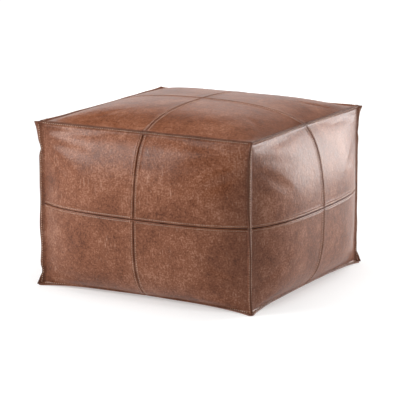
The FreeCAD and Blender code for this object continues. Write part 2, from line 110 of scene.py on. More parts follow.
def stuffed(cube):
    """The outside of the pouf for points on the surface of the cube."""
    a, b, c = cube[..., 0], cube[..., 1], cube[..., 2]
    up = (1 + c) / 2
    pull_x, pull_y = (low + (TOP_PULL - low) * up for low in FLOOR_PULL)
    at_a, at_b, at_c = (np.abs(t) ** 8 for t in (a, b, c))  # 1 on an edge, 0 well away from it
    waist = UPRIGHT_PULL * away(c, 4)
    crown = SIDE_START * SIDE_CROWN * np.where(c > 0, away(c, UPPER_FULLNESS), away(c, LOWER_FULLNESS))
    x = HALF + crown * away(b, 4) - pull_x * at_c * away(b, 3) - waist * at_b
    y = HALF + crown * away(a, 4) - pull_y * at_c * away(a, 3) - waist * at_a
    edge_dip = away(a, 3) * at_b + away(b, 3) * at_a
    roof = RISE + TOP_START * TOP_CROWN * away(a, 5) * away(b, 5) - TOP_DIP * edge_dip
    floor = RISE - FLOOR_LIFT * edge_dip
    z = MIDDLE + np.where(c > 0, c * roof, c * floor)
    return np.stack([a * x, b * y, z], -1)


# %% [markdown]
# ## Stuffing the cover by simulation
# The formula gives an even shape, and real leather is never even: edge seams are gathered
# by their thread, so the skin beside them puckers, and folds run into the corners where
# three edges meet. Moving vertices by hand gives folds that look drawn. Blender's Cloth with
# pressure finds them: the cover is blown up a little while a weight group makes the cloth
# shorter along the twelve edges. The underside stays on the floor, so it is held.

# %% Build the cover's grid
ACROSS = 60
UPWARDS = 42
SEAM_GATHER = 0.085  # how much shorter the thread makes an edge seam
GATHER_WIDTH = 0.08  # on the cube, from an edge to where the gathering ends
FRAMES = 20
REACH = 0.024  # no point may move further than this


def key(point):
    """A point of the cube as whole numbers, to look its place up by."""
    return tuple(int(round(value * 10000)) for value in point)


def face_cube(name, u, v):
    """Points of one face of the cube, from -1 to 1 across and up."""
    right, up, out = AXES[name]
    return u[..., None] * right + v[..., None] * up + out


def squares(name):
    """How many squares a face has across and up."""
    return ACROSS, (ACROSS if name in ("top", "underside") else UPWARDS)


def make_cover_form():
    """A grid of quads over all six faces, each vertex at its place on the cube."""
    bm = bmesh.new()
    for name, (right, up, out) in FACES.items():
        across, upwards = squares(name)
        turn = Matrix((right, up, out)).transposed().to_4x4()
        move = Matrix.Translation(Vector(out)) @ turn
        bmesh.ops.create_grid(bm, x_segments=across, y_segments=upwards, size=1, matrix=move)
    bmesh.ops.remove_doubles(bm, verts=bm.verts, dist=1e-5)
    mesh = bpy.data.meshes.new("cover_form")
    bm.to_mesh(mesh)
    bm.free()
    return mesh


form_mesh = make_cover_form()
cube_points = np.array([v.co for v in form_mesh.vertices])
start_points = stuffed(cube_points)
form_mesh.vertices.foreach_set("co", start_points.ravel())
form = bpy.data.objects.new("cover_form", form_mesh)
bpy.context.collection.objects.link(form)
print("cover form:", len(form_mesh.vertices), "vertices")

# %% Simulate the stuffing


def near_edge(cube):
    """1 on an edge seam, 0 a finger's width away from it."""
    gap = 1 - np.sort(np.abs(cube), axis=-1)[..., 1]
    return np.clip(1 - gap / GATHER_WIDTH, 0, 1)


def group(obj, name, weights):
    """A vertex group with a weight for each vertex."""
    made = obj.vertex_groups.new(name=name)
    for index, weight in enumerate(weights):
        if weight > 0:
            made.add([index], float(weight), "REPLACE")


def stuff(obj, frames):
    """Blows the cover up with the underside held, and returns where its vertices end."""
    cloth = obj.modifiers.new("stuffing", "CLOTH")
    settings = cloth.settings
    settings.quality = 7
    settings.mass = 0.4
    settings.tension_stiffness = 30
    settings.compression_stiffness = 30
    settings.shear_stiffness = 12
    settings.bending_stiffness = 1.2
    settings.air_damping = 4
    settings.use_pressure = True
    settings.uniform_pressure_force = 3
    settings.effector_weights.gravity = 0
    settings.vertex_group_mass = "held"
    settings.vertex_group_shrink = "gathered"
    settings.shrink_min = 0
    settings.shrink_max = SEAM_GATHER
    scene = bpy.context.scene
    cloth.point_cache.frame_end = frames
    for step in range(1, frames + 1):
        scene.frame_set(step)
    shown = obj.evaluated_get(bpy.context.evaluated_depsgraph_get())
    ended = np.array([v.co for v in shown.data.vertices])
    obj.modifiers.remove(cloth)
    scene.frame_set(1)
    return ended


held = (cube_points[:, 2] < -0.999) | (np.abs(cube_points).min(axis=1) > 0.999)
group(form, "held", held.astype(float))
group(form, "gathered", near_edge(cube_points))
final_points = start_points
final_points = stuff(form, FRAMES)
moved = final_points - start_points
distance = np.linalg.norm(moved, axis=1, keepdims=True)
final_points = start_points + moved * np.minimum(1, REACH / np.maximum(distance, 1e-9))
print(f"stuffing moved the cover by up to {distance.max() * 1000:.1f} mm")
places = {key(cube): place for cube, place in zip(cube_points, final_points)}
bpy.data.objects.remove(form)

# %% [markdown]
# ## Reading the stuffed cover anywhere
# The simulation ran on squares of about 9 mm, which is too coarse for seams. Each face is
# therefore kept as a grid of points, and a smooth curve is run through them in both
# directions. Any finer mesh can then ask for a point of the leather and its outward normal.

# %% Smooth sampling


def face_grid(name):
    """The face's stuffed points, with one more row all round for the curves to run on."""
    across, upwards = squares(name)
    u, v = np.meshgrid(np.linspace(-1, 1, across + 1), np.linspace(-1, 1, upwards + 1), indexing="ij")
    cube = face_cube(name, u, v)
    grid = np.array([[places[key(point)] for point in row] for row in cube])
    grid = np.concatenate([2 * grid[:1] - grid[1:2], grid, 2 * grid[-1:] - grid[-2:-1]], axis=0)
    return np.concatenate(
        [2 * grid[:, :1] - grid[:, 1:2], grid, 2 * grid[:, -1:] - grid[:, -2:-1]], axis=1
    )


GRIDS = {name: face_grid(name) for name in FACES}


def curve_weights(t):
    """The shares of four neighbours in a smooth curve, at t between the middle two."""
    return 0.5 * np.stack(
        [
            -t + 2 * t**2 - t**3,
            2 - 5 * t**2 + 3 * t**3,
            t + 4 * t**2 - 3 * t**3,
            -(t**2) + t**3,
        ],
        -1,
    )


def skin(name, u, v):
    """Points of a face's outside, for u across and v up, both from -1 to 1."""
    grid = GRIDS[name]
    where = []
    for t, count in ((u, grid.shape[0] - 3), (v, grid.shape[1] - 3)):
        place = np.clip((t + 1) / 2 * count, 0, count)
        cell = np.minimum(place.astype(int), count - 1)
        where.append((cell, curve_weights(place - cell)))
    (i, wu), (j, wv) = where
    four = np.arange(4)
    block = grid[i[..., None, None] + four[:, None], j[..., None, None] + four]
    return np.einsum("...i,...j,...ijk->...k", wu, wv, block)


def skin_normal(name, u, v):
    """The outward direction of the leather at the same points."""
    step = 0.01
    across = skin(name, np.minimum(u + step, 1), v) - skin(name, np.maximum(u - step, -1), v)
    upwards = skin(name, u, np.minimum(v + step, 1)) - skin(name, u, np.maximum(v - step, -1))
    normal = np.cross(across, upwards)
    return normal / np.linalg.norm(normal, axis=-1, keepdims=True)


# %% [markdown]
# ## One leather patch
# A patch has two kinds of border. At a panel seam the leather rolls inwards and leaves a
# groove, with a shoulder beside it and a channel under the topstitching. At an edge seam it
# turns outwards into a lip with a cut edge. A plain grid is laid out with its lines close
# together at both borders and wide apart between. Each line has a station: how far it
# lies from the seam, how deep, and how far out on the lip. Moving a grid onto stations keeps
# clean quads everywhere, which booleans or a remesh would not.

# %% Stations across a patch
ROLL = 0.00225  # from a panel seam's middle to its rolled wall
STITCH = 0.0049  # from a panel seam to its topstitching
TURN = 0.0048  # the bend from a face into its lip
SPACING = 0.0085


def seam_relief(d):
    """How far the leather lies below its smooth surface, at a distance from a panel seam."""
    shoulder = 0.0009 * math.exp(-(((d - 0.0028) / 0.0015) ** 2))
    channel = 0.0007 * math.exp(-(((d - STITCH) / 0.0009) ** 2))
    beyond = 0.0005 * math.exp(-(((d - 0.0075) / 0.0022) ** 2))
    return channel - shoulder - beyond


def stations(length, lip, rolled=True):
    """Lines from a panel seam to the tip of a lip. Each is a list of (share, distance,
    depth, lip reach) to be mixed, where depth is None on the edge seam and the lip."""
    lines = []
    if rolled:
        for distance, depth in ((0, 0.0030), (0, 0.0012), (0.00004, 0.0005), (0.0002, 0.00012)):
            lines.append([(1, ROLL + distance, depth, 0)])
    near = [ROLL + 0.0005, 0.0033, 0.0038, 0.0043, 0.0048, 0.0053, 0.0059, 0.0067, 0.0077, 0.0091]
    near += [0.011, 0.0135, 0.017, 0.022]
    far = [length - gap for gap in (0.026, 0.019, 0.0145, 0.011, 0.0086, 0.0068, 0.0056)]
    middle = np.linspace(near[-1], far[0], int((far[0] - near[-1]) / SPACING) + 2)[1:-1]
    for distance in [*near, *middle, *far]:
        lines.append([(1, distance, seam_relief(distance), 0)])
    for t in (0, 0.14, 0.28, 0.42, 0.56, 0.7, 0.85, 1):
        lines.append(
            [
                ((1 - t) ** 2, length - TURN, 0, 0),
                (2 * t * (1 - t), length, None, 0),
                (t**2, length, None, TURN),
            ]
        )
    for reach in (0.5, 0.75, 0.93, 1):
        lines.append([(1, length, None, TURN + (lip - TURN) * reach)])
    return lines


def unpack(lines):
    """The different states that the lines mix, and each line's share of each state."""
    states = []
    for line in lines:
        for _, *state in line:
            if state not in states:
                states.append(state)
    shares = np.zeros((len(lines), len(states)))
    for row, line in enumerate(lines):
        for share, *state in line:
            shares[row, states.index(state)] += share
    distance = np.array([state[0] for state in states])
    on_face = np.array([state[1] is not None for state in states], float)
    depth = np.array([state[1] or 0 for state in states])
    reach = np.array([state[2] for state in states])
    return distance, on_face, depth, reach, shares


# %% [markdown]
# ## Lips and ears
# Along the top and the uprights of the pouf the two lips of an edge stand out at 45 degrees
# between their faces, and on the floor they lie flat. An upright's lip widens towards a
# corner into a pointed ear, with a notch next to it, and the lips round the top are trimmed
# narrower. Cut by hand, their width wanders, and they lean to and fro. Both leaves of one
# edge have to lean alike, so lean and width depend only on where the edge is.

# %% Shape the lips
EAR = 0.5  # widths are shares of the usual lip
EAR_LENGTHS = (0.058, 0.030)  # at the top corners, then at the floor ones
NOTCH = 0.5
NOTCH_SPREAD = 0.011
UNEVEN = 0.16
BENT_TRIM = 0.1  # the front right upright has no ear and is a little narrower
ROUNDED = 0.8  # how far the ears' points are rounded off
TOP_TRIM = 0.38  # the lips round the top are trimmed narrower than the uprights
EAR_TRIM = 0.3  # and narrower again over the last stretch before an ear
EAR_TRIM_LENGTH = 0.03
LEVEL_TRIM = 0.62  # the lip on the floor is trimmed by this share between the corners
FLOOR_SIGN = -1


def wander(points, pitch, seed):
    """Smooth noise vectors along an edge, the same for every patch that meets it."""
    flat = points.reshape(-1, 3)
    made = [noise.noise_vector(Vector(p) / pitch + Vector((seed, 0, 0))) for p in flat]
    return np.array(made).reshape(points.shape)


def lip_width(edge, gap, upright=False):
    """The lip's width as a share of its usual one, at a gap from the nearest corner."""
    width = 1 + UNEVEN * wander(edge, 0.06, 3.1)[..., 2]
    above = edge[..., 2] > MIDDLE
    if upright:
        length = np.where(above, *EAR_LENGTHS)
        notch = NOTCH * np.exp(-(((gap - length) / NOTCH_SPREAD) ** 2))
        ear = EAR * np.clip(1 - gap / length, 0, 1) - notch
        front_right = above * (edge[..., 0] > 0) * (edge[..., 1] < 0)
        return width + ear * (1 - front_right) - BENT_TRIM * front_right
    return width - above * (TOP_TRIM + EAR_TRIM * np.clip(1 - gap / EAR_TRIM_LENGTH, 0, 1))


def floor_width(edge, run):
    """The same on the floor, where run is the distance from the edge's middle."""
    return lip_width(edge, HALF - run) - LEVEL_TRIM * away(run / HALF, 12)


def closed(t, half):
    """On a lip the groove of the panel seam is closed up, so that the lip carries on."""
    gap = ROLL / half
    return np.maximum(t - gap, 0) / (1 - gap)


CROSSING = 0.35  # how far four patches are drawn together where their seams cross
CROSSING_SPREAD = 0.0015


def patch_points(name, sign_u, sign_v, across, upwards):
    """Where a patch's grid goes, on the flesh side of the leather."""
    right, up, out = AXES[name]
    half_v = HALF if name in ("top", "underside") else RISE
    du, face_u, depth_u, reach_u, share_u = across
    dv, face_v, depth_v, reach_v, share_v = upwards
    u = np.minimum(du / HALF, 1)[:, None] * np.ones_like(dv)
    v = np.ones_like(du)[:, None] * np.minimum(dv / half_v, 1)[None]
    drawn_in = 1 - CROSSING * np.exp(-(du[:, None] + dv - 2 * ROLL) / CROSSING_SPREAD)
    u = u * drawn_in
    v = v * drawn_in
    on_face = face_u[:, None] * face_v
    u = np.where(face_v > 0.5, u, closed(u, HALF))
    v = np.where(face_u[:, None] > 0.5, v, closed(v, half_v))
    places = skin(name, sign_u * u, sign_v * v)
    normal = skin_normal(name, sign_u * u, sign_v * v)
    sunk = np.maximum(np.maximum(depth_u, 0)[:, None], np.maximum(depth_v, 0))
    raised = np.maximum(np.maximum(-depth_u, 0)[:, None], np.maximum(-depth_v, 0))
    depth = on_face * (LEATHER + sunk - raised)
    places = places - normal * depth[..., None]
    floor_lip = sign_v == FLOOR_SIGN and name != "top"
    width_u = lip_width(skin(name, sign_u + 0 * u, sign_v * v), (1 - v) * half_v, name != "top")
    width_v = lip_width(skin(name, sign_u * u, sign_v + 0 * v), (1 - u) * HALF)
    if floor_lip:
        width_v = width_v - LEVEL_TRIM * away(u, 12)
    out_u = reach_u[:, None] * width_u
    out_v = reach_v[None] * width_v
    reach = np.maximum(out_u, out_v)
    rounding = 1 - ROUNDED * (1 - reach / np.maximum(np.hypot(out_u, out_v), 1e-9))
    out_u = np.where(reach > 0, out_u * rounding, 0)
    out_v = np.where(reach > 0, out_v * rounding, 0)
    slant_v = 0 if floor_lip else SLANT
    raise_v = out_v if floor_lip else SLANT * out_v
    stand = ((SLANT * out_u) ** 4 + raise_v**4) ** 0.25
    lean = lean_aside(places, reach)
    places = places + (sign_u * SLANT * out_u)[..., None] * right
    places = places + (sign_v * slant_v * out_v)[..., None] * up + stand[..., None] * out + lean
    return np.einsum("ik,jl,klc->ijc", share_u, share_v, places)


BENDS = (  # an upright's corner, how far it is bent, how much less at its ends and low down
    ((1, -1), (-1.15, -0.08, 0), 0.85, 0.8),
    ((-1, -1), (-0.29, 0.60, 0), 0.30, 0),
    ((1, 1), (-0.60, 0.29, 0), 0.60, 0),
)
BEND_SPREAD = 0.015
SWAY = 0.0022
FLOP = (0, 0, -1.1)
FLOP_GAP = 0.012  # from a corner to where a far lip starts to flop
FLOP_LENGTH = 0.03


def corner_distance(edge, side, depth):
    """How far a point is from an upright, seen from above."""
    return np.hypot(edge[..., 0] - side * HALF, edge[..., 1] - depth * HALF)


def lean_aside(edge, reach):
    """How far a lip leans aside at a reach. Each wanders a little, and three uprights are
    bent over by hand and use. The top's left and back lips flop outwards."""
    lean = SWAY * wander(edge, 0.05, 7.7)
    height = (edge[..., 2] - MIDDLE) / RISE
    for (side, depth), bend, less, lower in BENDS:
        near = np.clip(1.6 - corner_distance(edge, side, depth) / BEND_SPREAD, 0, 1)
        bent = near * (1 - less * height**10) * (1 - lower * np.clip(0.5 - 2 * height, 0, 1))
        lean = lean + np.array(bend) * (reach * bent)[..., None]
    far_side = np.maximum(-edge[..., 0], edge[..., 1]) > 0.9 * HALF
    level = np.clip((edge[..., 2] - TOP_EDGE) / 0.03 + 1, 0, 1) ** 2
    corner = np.minimum(corner_distance(edge, -1, -1), corner_distance(edge, 1, 1))
    flopped = far_side * level * np.clip((corner - FLOP_GAP) / FLOP_LENGTH, 0, 1)
    lean = lean + np.array(FLOP) * (reach * flopped)[..., None]
    off_floor = np.clip((edge[..., 2] - BASE_EDGE - 0.008) / 0.04, 0, 1)
    return lean * (off_floor * np.minimum(reach / LIP, 1.3) ** 1.5)[..., None]


# %% Make a patch from its grid


def grid_mesh(name, places, outwards):
    """A grid laid over an array of points, with its faces turned outwards."""
    columns, rows = places.shape[:2]
    bm = bmesh.new()
    bmesh.ops.create_grid(bm, x_segments=columns - 1, y_segments=rows - 1, size=1)
    for vertex in bm.verts:
        i = round((vertex.co.x + 1) / 2 * (columns - 1))
        j = round((vertex.co.y + 1) / 2 * (rows - 1))
        vertex.co = Vector(places[i, j])
    bm.normal_update()
    facing = sum(face.normal.dot(Vector(outwards)) * face.calc_area() for face in bm.faces)
    if facing < 0:
        bmesh.ops.reverse_faces(bm, faces=bm.faces)
    mesh = bpy.data.meshes.new(name)
    bm.to_mesh(mesh)
    bm.free()
    mesh.shade_smooth()
    obj = bpy.data.objects.new(name, mesh)
    bpy.context.collection.objects.link(obj)
    return obj


def thicken(obj, thickness, outwards=True):
    """Gives a sheet its thickness, on its outer or its inner side."""
    solid = obj.modifiers.new("thickness", "SOLIDIFY")
    solid.thickness = thickness
    solid.offset = 1 if outwards else -1
    solid.use_quality_normals = True


ACROSS_LINES = unpack(stations(HALF, LIP))
UPWARD_LINES = unpack(stations(RISE, LIP))
patches = {}


def make_patch(name, sign_u, sign_v, node):
    """One quarter of a face. The signs say which."""
    upwards = ACROSS_LINES if name == "top" else UPWARD_LINES
    places = patch_points(name, sign_u, sign_v, ACROSS_LINES, upwards)
    patch = grid_mesh(f"leather_{node}", places, FACES[name][2])
    thicken(patch, LEATHER)
    patches[patch.name] = patch
    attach(patch, "cover")
    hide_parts(node)


for side in ("front", "right", "back", "left"):
    for level, sign_v in (("lower", -1), ("upper", 1)):
        for half, sign_u in (("left", -1), ("right", 1)):
            make_patch(side, sign_u, sign_v, f"{side}_panel_{level}_{half}")
for depth, sign_v in (("front", -1), ("back", 1)):
    for half, sign_u in (("left", -1), ("right", 1)):
        make_patch("top", sign_u, sign_v, f"top_panel_{depth}_{half}")
print("leather patches:", len(patches))

# %% [markdown]
# ## Shader maths in plain Python
# A material's nodes are easier to read as sums. This small class wraps a socket, so that
# adding, multiplying and so on make the Math nodes. One method makes any other node.

# %% A socket that can be calculated with


class Value:
    """A node's output that can be added, multiplied and so on."""

    def __init__(self, tree, socket):
        self.tree = tree
        self.socket = socket

    def make(self, kind, output=0, settings=None, **inputs):
        """A node of any kind: settings first, then values or links for its sockets."""
        node = self.tree.nodes.new(kind)
        for name, setting in (settings or {}).items():
            if name == "stops":
                paint_ramp(node.color_ramp, setting)
            else:
                setattr(node, name, setting)
        for name, given in inputs.items():
            index = name[1:]
            socket = node.inputs[int(index) if index.isdigit() else name.replace("_", " ")]
            if isinstance(given, Value):
                self.tree.links.new(given.socket, socket)
            else:
                socket.default_value = given
        return Value(self.tree, node.outputs[output])

    def math(self, operation, first, second):
        return self.make("ShaderNodeMath", settings={"operation": operation}, i0=first, i1=second)

    def __add__(self, other):
        return self.math("ADD", self, other)

    def __rsub__(self, other):
        return self.math("SUBTRACT", other, self)

    def __mul__(self, other):
        return self.math("MULTIPLY", self, other)

    __radd__ = __add__
    __rmul__ = __mul__

    def ramp(self, *stops):
        """A colour ramp of (place, colour) stops."""
        return self.make("ShaderNodeValToRGB", settings={"stops": stops}, Fac=self)

    def between(self, low, high):
        """0 below low, 1 above high, smooth between."""
        return self.make(
            "ShaderNodeMapRange", settings={"interpolation_type": "SMOOTHSTEP"},
            Value=self, From_Min=low, From_Max=high,
        )

    def mix(self, first, second):
        """The first colour where this is 0 and the second where it is 1."""
        return self.make(
            "ShaderNodeMix", output=2, settings={"data_type": "RGBA"}, i0=self, i6=first, i7=second
        )


def paint_ramp(ramp, stops):
    """Sets a ramp's colours."""
    while len(ramp.elements) < len(stops):
        ramp.elements.new(0.5)
    for element, (place, colour) in zip(ramp.elements, stops):
        element.position = place
        element.color = (*colour, 1)


class Finish:
    """A material with one Principled shader, and the noises that most of them use."""

    def __init__(self, name):
        self.material = bpy.data.materials.new(name)
        self.material.use_nodes = True
        self.tree = self.material.node_tree
        self.shader = self.tree.nodes["Principled BSDF"]
        self.start = Value(self.tree, None)
        place = self.tree.nodes.new("ShaderNodeTexCoord")
        self.place = Value(self.tree, place.outputs["Object"])

    def stretched(self, scale, turn=(0, 0, 0)):
        """The place, turned and then scaled differently along each axis."""
        turned = self.start.make("ShaderNodeMapping", Vector=self.place, Rotation=turn)
        return self.start.make("ShaderNodeMapping", Vector=turned, Scale=scale)

    def noise(self, scale, detail=3.0, roughness=0.5, distortion=0.0, place=None):
        return self.start.make(
            "ShaderNodeTexNoise", Vector=place or self.place, Scale=scale, Detail=detail,
            Roughness=roughness, Distortion=distortion,
        )

    def cells(self, scale):
        return self.start.make(
            "ShaderNodeTexVoronoi", settings={"feature": "SMOOTH_F1"}, Vector=self.place, Scale=scale
        )

    def attribute(self, name):
        """What the piece's vertices store under this name."""
        return self.start.make("ShaderNodeAttribute", output=2, settings={"attribute_name": name})

    def set(self, **values):
        """Sets the shader's sockets, each to a number, a colour or a value."""
        for name, given in values.items():
            socket = self.shader.inputs[name.replace("_", " ")]
            if isinstance(given, Value):
                self.tree.links.new(given.socket, socket)
            else:
                socket.default_value = given
        return self

    def bump(self, height, depth, strength=1.0, under=None):
        """A normal for relief of this depth, laid over another one if given."""
        inputs = {"Height": height, "Distance": depth, "Strength": strength}
        if under is not None:
            inputs["Normal"] = under
        return self.start.make("ShaderNodeBump", **inputs)


def dress(obj, material):
    """Gives a piece its one material."""
    obj.data.materials.clear()
    obj.data.materials.append(material)


# %% [markdown]
# ## Leather
# Waxed aniline leather shows its hide: clouds of lighter and darker brown a few centimetres
# across, a fine pebbled grain, and pale marks where it was pulled or scraped. The lips are
# darker, and darker still at their cut edges. Painted shade darkens the seam grooves, the
# leather beside the panel seams and a broad band beside the edge seams. The clouds are noise
# at three sizes, the marks are noise drawn out long and thin, and the grain is Voronoi cells
# in the bump. The sheen comes from the shader's own gloss, broken up by the same noise, so it
# moves properly with the light.

# %% Mark the seams on each patch
# SEAM_FADE and EDGE_FADE: how far the painted shade beside the panel seams and beside the edge seams
# reaches
SEAM_FADE = 0.006
EDGE_FADE = 0.040
WALL_DEPTH = 0.0004  # deeper than this, a line lies on a rolled wall
TIP_START = 0.6  # the share of a lip's reach where its worn tip starts


def mix_lines(lines, values):
    """Values that are known for each state, mixed for each line of the grid."""
    return lines[-1] @ values


def worn_tip(reach):
    """0 on most of a lip, rising to 1 at its cut edge."""
    return np.clip((reach - TIP_START * LIP) / ((1 - TIP_START) * LIP), 0, 1)


def mark_patch(patch, across, upwards):
    """Stores how near each vertex is to a seam, and how far out it is on a lip, as masks for
    painted shade in and beside the seams, for the darker lips and for their dark cut edges.
    """
    near, wall, butt, lip, tip = ([], [], [], [], [])
    for lines in (across, upwards):
        distance, on_face, depth, reach, _ = lines
        near.append(mix_lines(lines, np.exp(-np.maximum(distance - ROLL, 0) / SEAM_FADE)))
        wall.append(mix_lines(lines, (depth > WALL_DEPTH).astype(float)))
        butt.append(mix_lines(lines, np.clip(1.6 - (distance - ROLL) / 0.0004, 0, 1)))
        lip.append(mix_lines(lines, 1 - on_face))
        tip.append(mix_lines(lines, worn_tip(reach)))
    # painted shade: a broad darkening beside the edge seams, standing in for the shade on the faces near
    # the uprights
    edge = mix_lines(across, np.exp(-(HALF - np.minimum(across[0], HALF)) / EDGE_FADE))
    butted = np.maximum(butt[0][:, None] * lip[1], lip[0][:, None] * butt[1])
    # seam and groove hold painted shade beside and in the panel seams; tip is the dark cut edge of the
    # lips
    layers = {
        "handled": np.maximum(edge[:, None], 0.8 * np.maximum(lip[0][:, None], lip[1])),
        "seam": np.maximum(near[0][:, None], near[1]),
        "groove": np.maximum(np.maximum(wall[0][:, None], wall[1]), butted),
        "tip": np.maximum(tip[0][:, None], tip[1]),
    }
    order = grid_order(len(near[0]), len(near[1]))
    for name, values in layers.items():
        layer = patch.data.attributes.new(name, "FLOAT", "POINT")
        layer.data.foreach_set("value", values.ravel()[order].astype(np.float32))


def grid_order(columns, rows):
    """create_grid numbers its vertices row by row."""
    return (np.arange(columns)[None, :] * rows + np.arange(rows)[:, None]).ravel()


for patch in patches.values():
    mark_patch(patch, ACROSS_LINES, ACROSS_LINES if "_top_" in patch.name else UPWARD_LINES)

# %% Mix the leather


def make_leather(name):
    leather = Finish(name)
    clouds = leather.noise(13, detail=9, roughness=0.66, distortion=0.3)
    blotches = leather.noise(60, detail=5, roughness=0.65)
    specks = leather.noise(280, detail=3, roughness=0.6)
    tone = 0.36 * clouds + 0.18 * blotches + 0.46 * specks
    colour = tone.ramp(
        (0.38, (0.085, 0.0235, 0.008)),
        (0.46, (0.152, 0.047, 0.019)),
        (0.53, (0.215, 0.076, 0.036)),
        (0.62, (0.330, 0.155, 0.096)),
    )
    pulls = leather.noise(12, detail=2, distortion=1.2).between(0.46, 0.62)
    upright = leather.noise(1, detail=2, place=leather.stretched((330, 330, 26), (0.12, 0.08, 0)))
    slanted = leather.noise(1, detail=2, place=leather.stretched((28, 380, 380), (0, 0.3, 0.6)))
    marks = (upright.between(0.62, 0.72) + slanted.between(0.66, 0.74)) * pulls
    colour = (0.50 * marks).mix(colour, (0.47, 0.27, 0.19, 1))
    # painted shade in a broad band beside the edge seams, together with the darker lips
    colour = (0.38 * leather.attribute("handled")).mix(colour, (0.060, 0.017, 0.007, 1))
    # painted shade beside the panel seams, where the leather dips towards them
    colour = (0.25 * leather.attribute("seam")).mix(colour, (0.105, 0.040, 0.022, 1))
    # painted shade, near black, on the rolled walls of the seam grooves and along the seam lines carried
    # over the lips
    colour = (0.9 * leather.attribute("groove")).mix(colour, (0.030, 0.012, 0.008, 1))
    tip = leather.attribute("tip")
    colour = (0.65 * tip).mix(colour, (0.070, 0.026, 0.014, 1))
    grain = leather.cells(640)
    pores = leather.noise(900, detail=2)
    folds = leather.noise(95, detail=4, distortion=0.8)
    small = leather.bump(0.7 * grain + 0.5 * pores, 0.00035, 0.55)
    large = leather.bump(folds, 0.0013, 0.5, under=small)
    gloss = 0.20 + 0.17 * blotches + 0.17 * specks + 0.10 * marks + 0.25 * tip
    leather.set(Base_Color=colour, Roughness=gloss, Normal=large, Specular_IOR_Level=0.20)
    leather.set(Coat_Weight=0.08, Coat_Roughness=0.26)
    return leather.material


leather = make_leather("waxed_leather")
for patch in patches.values():
    dress(patch, leather)
print("leather on", len(patches), "patches")

# %% [markdown]
# ## Underside
# The underside is four flat patches that meet at a zip. Beside the zip each patch is folded
# back into a hem. The hem is part of the same sheet, so its grid simply carries on round
# the fold; towards the ends of the zip the fold moves in until the two patches meet.

# %% Fold the underside patches
SLOT = 0.0075  # half the opening over the zip
SLOT_END = 0.235
HEM_TOP = 0.006
HEM_IN = 0.0255
CLOSED_SLOT = 0.0003


def hem_profile():
    """From the hem's inner end round the fold to the lip: (distance from the hem's own
    edge, height) on the grain side."""
    bend = HEM_TOP / 2
    line = [(HEM_IN - SLOT, HEM_TOP), (0.012, HEM_TOP), (0.007, HEM_TOP)]
    for step in range(7):
        turn = math.pi * (0.5 + step / 6)
        line.append((bend + bend * math.cos(turn), bend + bend * math.sin(turn)))
    return line


def make_underside(sign_x, sign_y):
    """One patch of the underside as a grid: the rolled seam and the width along X, and the
    hem, the fold and the flat part along Y."""
    across, on_face, depth, reach, shares = ACROSS_LINES
    fold = hem_profile()
    flat = [0.012, 0.0165, 0.018, 0.0195, 0.022, 0.03, *np.linspace(0.045, HALF - 0.006, 18), HALF]
    rows = [(gap, height, 0) for gap, height in fold]
    rows += [(gap, 0, 0) for gap in flat] + [(HALF, 0, 0.5), (HALF, 0, 1)]
    xs = shares @ across
    out_x = shares @ reach
    lift = shares @ (np.maximum(depth, 0) * on_face)
    closing = np.clip((xs - SLOT_END) / 0.006, 0, 1)
    open_by = SLOT + (CLOSED_SLOT - SLOT) * closing
    places = np.zeros((len(xs), len(rows), 3))
    for j, (gap, height, out_y) in enumerate(rows):
        y = open_by + gap if j < len(fold) else np.maximum(gap, open_by + 0.004)
        flat_place = np.stack([xs, y, 0 * xs], -1)
        cube = np.stack([xs / HALF, np.minimum(y / HALF, 1), -1 + 0 * xs], -1)
        border = stuffed(cube) - np.array([0, 0, BASE_EDGE])
        near = np.max(cube[:, :2], axis=1)[:, None] ** 6
        place = flat_place + near * (border - flat_place)
        place[:, 2] += height + (lift if height < 0.001 else 0)
        signed = place * (sign_x, sign_y, 1)
        lip = LIP * out_y * floor_width(signed, xs)
        side = out_x * floor_width(signed, y)
        reach = np.maximum(np.maximum(lip, side), 1e-9)
        rounding = 1 - ROUNDED * (1 - reach / np.maximum(np.hypot(lip, side), 1e-9))
        place[:, 0] += side * rounding
        place[:, 1] += lip * rounding
        places[:, j] = place * (sign_x, sign_y, 1)
    return places


undersides = []
for depth, sign_y in (("front", -1), ("back", 1)):
    for half, sign_x in (("left", -1), ("right", 1)):
        node = f"underside_panel_{depth}_{half}"
        patch = grid_mesh(f"leather_{node}", make_underside(sign_x, sign_y), (0, 0, -1))
        thicken(patch, LEATHER, outwards=False)
        dress(patch, leather)
        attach(patch, "cover")
        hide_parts(node)
        undersides.append(patch)
print("underside patches:", len(undersides))

# %% [markdown]
# ## Stitching
# Topstitching is a row of separate short stitches, each mostly proud of the leather and
# dipping into a hole at both ends. One curve with a dashed texture would look
# flat from close by, so each stitch is a small stretched ball. There are thousands, so
# each has only a few faces.

# %% Lay a row of stitches
THREAD = 0.0014
PITCH = 0.0052
STITCH_LENGTH = 0.0032


def make_stitch():
    """One stitch that lies along X, with Z outwards."""
    bm = bmesh.new()
    lie_down = Matrix.Rotation(math.pi / 2, 4, "Y")
    stretch = Matrix.Diagonal((STITCH_LENGTH / 2, THREAD / 2, THREAD / 2, 1))
    bmesh.ops.create_uvsphere(bm, u_segments=6, v_segments=5, radius=1, matrix=stretch @ lie_down)
    mesh = bpy.data.meshes.new("one_stitch")
    bm.to_mesh(mesh)
    bm.free()
    return mesh


one_stitch = make_stitch()


def stitch_place(middle, along, outwards):
    """The matrix that puts the stitch at a point of its row."""
    along = along.normalized()
    side = outwards.cross(along).normalized()
    turn = Matrix((along, side, along.cross(side))).transposed().to_4x4()
    return Matrix.Translation(middle) @ turn


